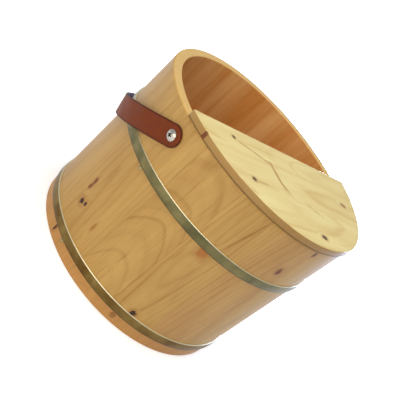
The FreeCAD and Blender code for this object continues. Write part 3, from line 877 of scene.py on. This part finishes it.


# Metals

# the lower hoop's brown is partly a painted reflection of the warm wood round it
HOOP_TONES_AND_REFLECTION = {"lower_hoop": ("#62481C", "#86703E"), "upper_hoop": ("#565234", "#80764E")}
NAIL_TONES = ("#A39669", "#8E8460")
# a painted highlight for the hoops' top edges and painted shade for their bottom edges
PAINTED_TOP_HIGHLIGHT = "#E8E0BE"
PAINTED_UNDER_SHADE = "#453D28"


def painted_edge_light(tree, position, colour, low):
    """A painted highlight along a hoop's top edge, where light falls on it, and painted shade along its
    bottom edge.
    """
    height = put(tree, "ShaderNodeSeparateXYZ", {0: position}).outputs[2]
    high = low + HOOP_WIDTH
    # painted highlight along the top edge, then painted shade along the bottom edge
    for start, full, hexed in ((high - 1.2, high - 0.5, PAINTED_TOP_HIGHLIGHT), (low + 2.2, low + 0.8, PAINTED_UNDER_SHADE)):
        share = put(tree, "ShaderNodeMapRange", {0: height, 1: start * MM, 2: full * MM}).outputs[0]
        colour = put(tree, "ShaderNodeMix", {0: share, 6: colour, 7: linear(hexed)},
                     data_type="RGBA").outputs[2]
    return colour


def aged_zinc(name, tones, roughness, low=None):
    """Galvanised steel, rolled and dulled by handling: brownish to greenish grey, with soft blooms
    some 25 mm across. A hoop, whose lower edge is at the level low, has a painted highlight on its
    top edge and painted shade along its bottom edge as well."""
    material, tree = new_material(name)
    position = put(tree, "ShaderNodeTexCoord").outputs["Object"]
    bloom = put(tree, "ShaderNodeTexNoise", {"Vector": position, "Scale": 1 / (25 * MM), "Detail": 4.0})
    bloom = bloom.outputs[0]
    gloss = put(tree, "ShaderNodeMapRange", {0: bloom, 1: 0.3, 2: 0.7, 3: roughness - 0.06,
                                             4: roughness + 0.1}).outputs[0]
    bloomed = put(tree, "ShaderNodeMapRange", {0: bloom, 1: 0.35, 2: 0.7}).outputs[0]
    colour = put(tree, "ShaderNodeMix", {0: bloomed, 6: linear(tones[0]), 7: linear(tones[1])},
                 data_type="RGBA").outputs[2]
    if low is not None:
        colour = painted_edge_light(tree, position, colour, low)
    bump = put(tree, "ShaderNodeBump", {"Height": bloom, "Strength": 0.1, "Distance": 0.2 * MM}).outputs[0]
    shader = put(tree, "ShaderNodeBsdfPrincipled", {"Base Color": colour, "Metallic": 0.85,
                                                    "Roughness": gloss, "Normal": bump})
    put(tree, "ShaderNodeOutputMaterial", {"Surface": shader.outputs[0]})
    return material


def plated_steel(name, hexed, low, high):
    """Nickel-plated steel, pressed and tumbled: bright, with a soft edge to its reflections. Its
    roughness goes from low to high in patches some 3 mm across."""
    material, tree = new_material(name)
    position = put(tree, "ShaderNodeTexCoord").outputs["Object"]
    wear = put(tree, "ShaderNodeTexNoise", {"Vector": position, "Scale": 1 / (3 * MM), "Detail": 3.0})
    gloss = put(tree, "ShaderNodeMapRange", {0: wear.outputs[0], 1: 0.3, 2: 0.7, 3: low, 4: high}).outputs[0]
    shader = put(tree, "ShaderNodeBsdfPrincipled", {"Base Color": linear(hexed), "Metallic": 1.0,
                                                    "Roughness": gloss})
    put(tree, "ShaderNodeOutputMaterial", {"Surface": shader.outputs[0]})
    return material


for hoop, (node, level) in zip(hoops, HOOP_LEVELS.items()):
    dress(hoop, aged_zinc(f"hoop_metal_{node}", HOOP_TONES_AND_REFLECTION[node], 0.36, level))
dress(nails, aged_zinc("nail_metal_zinc", NAIL_TONES, 0.26))
# the recesses get a dark steel that is painted shade
dress(screws, plated_steel("screw_nickel", "#B5B0A8", 0.18, 0.32),
      plated_steel("screw_recess_painted_shade", "#3A342C", 0.5, 0.6))


# Leather

LEATHER_TAN = ("#6C2806", "#863E10")
EDGE_DYE_AND_SHADE = "#521E08"


def bridle_leather(name):
    """Bridle leather, dyed tan and waxed: warm brown in clouds some 18 mm across, faint pores, a
    soft sheen, and darker dye along the cut edges with painted shade beside it."""
    material, tree = new_material(name)
    position = put(tree, "ShaderNodeTexCoord").outputs["Object"]
    # real pores are some 0.2 mm across and are drawn coarser, 1.3 mm apart, so that they show
    pores = put(tree, "ShaderNodeTexVoronoi", {"Vector": position, "Scale": 1 / (1.3 * MM)}).outputs[0]
    cloud = put(tree, "ShaderNodeTexNoise", {"Vector": position, "Scale": 1 / (18 * MM), "Detail": 4.0})
    cloud = cloud.outputs[0]
    colour = put(tree, "ShaderNodeMix", {0: cloud, 6: linear(LEATHER_TAN[0]), 7: linear(LEATHER_TAN[1])},
                 data_type="RGBA").outputs[2]
    # dark dye on the cut edges, running on as painted shade across the face near them
    dye_and_shade = put(tree, "ShaderNodeAttribute", attribute_name="edge_dye_and_shade").outputs["Fac"]
    dye_and_shade = put(tree, "ShaderNodeMath", {0: dye_and_shade, 1: 1.6}, operation="POWER").outputs[0]
    colour = put(tree, "ShaderNodeMix", {0: dye_and_shade, 6: colour, 7: linear(EDGE_DYE_AND_SHADE)},
                 data_type="RGBA").outputs[2]
    bump = put(tree, "ShaderNodeBump", {"Height": pores, "Strength": 0.25, "Distance": 0.15 * MM}).outputs[0]
    gloss = put(tree, "ShaderNodeMapRange", {0: cloud, 1: 0.3, 2: 0.7, 3: 0.5, 4: 0.65}).outputs[0]
    shader = put(tree, "ShaderNodeBsdfPrincipled",
                 {"Base Color": colour, "Roughness": gloss, "Normal": bump, "IOR": 1.35,
                  "Specular IOR Level": 0.35})
    put(tree, "ShaderNodeOutputMaterial", {"Surface": shader.outputs[0]})
    return material


dress(strap, bridle_leather("strap_bridle_leather"))


# The studio, laid out as the camera sees it and then turned to the frame's axes

FLOOR_SIZE = 12000
# the share of the floor's white that mirrors see
FLOOR_MIRRORED = 0.72
# how far from the tub's axis the floor's shadow starts to fade, and where it is gone
SHADOW_DEEP = 200
SHADOW_GONE = 800
CAMERA_PLACE = (-4.448, -1262.269, 719.04)
CAMERA_ELEVATION = 23.847
CAMERA_ROLL = 50.36
CAMERA_FOCUS_PIXELS = 855.2
FRAME_PIXELS = 400
SENSOR = 36

# name, place, target, width and height, watts, colour
LAMPS = (
    ("overhead_softbox", (-100, -300, 1900), (0, 0, 200), (1600, 1600), 22, "#FFFFFF"),
    ("right_strip_light", (620, 1400, 150), (0, 0, 150), (1200, 280), 50, "#B4CEFF"),
    ("front_softbox", (-450, -1850, 900), (0, 0, 150), (1500, 1100), 12.5, "#FFF4E2"),
)


def make_floor():
    """A white paper floor. The camera and mirrors see it white, less so close to the foot bath,
    where its shadow shows."""
    mesh_data = bmesh.new()
    bmesh.ops.create_grid(mesh_data, x_segments=1, y_segments=1, size=FLOOR_SIZE * MM / 2)
    mesh = bpy.data.meshes.new("studio_floor")
    mesh_data.to_mesh(mesh)
    mesh_data.free()
    floor = bpy.data.objects.new("studio_floor", mesh)
    bpy.context.collection.objects.link(floor)
    material, tree = new_material("white_paper")
    path = put(tree, "ShaderNodeLightPath")
    seen = put(tree, "ShaderNodeMath", {0: path.outputs["Is Glossy Ray"], 1: FLOOR_MIRRORED},
               operation="MULTIPLY").outputs[0]
    seen = put(tree, "ShaderNodeMath", {0: path.outputs["Is Camera Ray"], 1: seen},
               operation="MAXIMUM").outputs[0]
    place = put(tree, "ShaderNodeTexCoord").outputs["Object"]
    distance = put(tree, "ShaderNodeVectorMath", {0: place}, operation="LENGTH").outputs["Value"]
    strength = put(tree, "ShaderNodeMapRange", {0: distance, 1: SHADOW_DEEP * MM, 2: SHADOW_GONE * MM,
                                                3: 0.45, 4: 1.0}).outputs[0]
    paper = put(tree, "ShaderNodeBsdfDiffuse", {"Color": linear("#F2F2F2")}).outputs[0]
    glow = put(tree, "ShaderNodeEmission", {"Color": (1, 1, 1, 1), "Strength": strength}).outputs[0]
    lit = put(tree, "ShaderNodeAddShader", {0: paper, 1: glow}).outputs[0]
    shader = put(tree, "ShaderNodeMixShader", {0: seen, 1: paper, 2: lit})
    put(tree, "ShaderNodeOutputMaterial", {"Surface": shader.outputs[0]})
    floor.data.materials.append(material)


def make_lamp(name, place, target, size, power, colour):
    """A rectangular lamp that shines from its place towards its target."""
    light = bpy.data.lights.new(name, "AREA")
    light.shape = "RECTANGLE"
    light.size = size[0] * MM
    light.size_y = size[1] * MM
    light.energy = power
    light.color = linear(colour)[:3]
    lamp = bpy.data.objects.new(name, light)
    bpy.context.collection.objects.link(lamp)
    spot = turn(PHOTO_TURN) @ Vector(place)
    lamp.location = spot * MM
    lamp.rotation_euler = (turn(PHOTO_TURN) @ Vector(target) - spot).to_track_quat("-Z", "Y").to_euler()


def make_world():
    """A soft white room: white to the camera, dimmer in mirrors, and dimmer still as light."""
    world = bpy.data.worlds.new("studio_room")
    world.use_nodes = True
    tree = world.node_tree
    tree.nodes.clear()
    path = put(tree, "ShaderNodeLightPath")
    strength = put(tree, "ShaderNodeMapRange", {0: path.outputs["Is Glossy Ray"], 3: 0.28, 4: 0.6}).outputs[0]
    strength = put(tree, "ShaderNodeMath", {0: path.outputs["Is Camera Ray"], 1: strength},
                   operation="MAXIMUM").outputs[0]
    glow = put(tree, "ShaderNodeBackground", {"Color": (1, 1, 1, 1), "Strength": strength})
    put(tree, "ShaderNodeOutputWorld", {"Surface": glow.outputs[0]})
    bpy.context.scene.world = world


def make_camera():
    """The photograph's camera: raised and rolled, so that the upright foot bath leans to the right."""
    elevation = math.radians(CAMERA_ELEVATION)
    roll = math.radians(CAMERA_ROLL)
    ahead = Vector((0, math.cos(elevation), -math.sin(elevation)))
    side = Vector((1, 0, 0))
    up = Vector((0, math.sin(elevation), math.cos(elevation)))
    image_right = side * math.cos(roll) + up * math.sin(roll)
    image_up = up * math.cos(roll) - side * math.sin(roll)
    columns = [turn(PHOTO_TURN) @ vector for vector in (image_right, image_up, -ahead)]
    lens = bpy.data.cameras.new("photo_camera")
    lens.sensor_width = SENSOR
    lens.lens = CAMERA_FOCUS_PIXELS / FRAME_PIXELS * SENSOR
    camera = bpy.data.objects.new("photo_camera", lens)
    bpy.context.collection.objects.link(camera)
    camera.matrix_world = (Matrix.Translation(turn(PHOTO_TURN) @ Vector(CAMERA_PLACE) * MM)
                           @ Matrix(columns).transposed().to_4x4())
    bpy.context.scene.camera = camera


make_floor()
for lamp_settings in LAMPS:
    make_lamp(*lamp_settings)
make_world()
make_camera()
bpy.context.scene.view_settings.view_transform = "Standard"
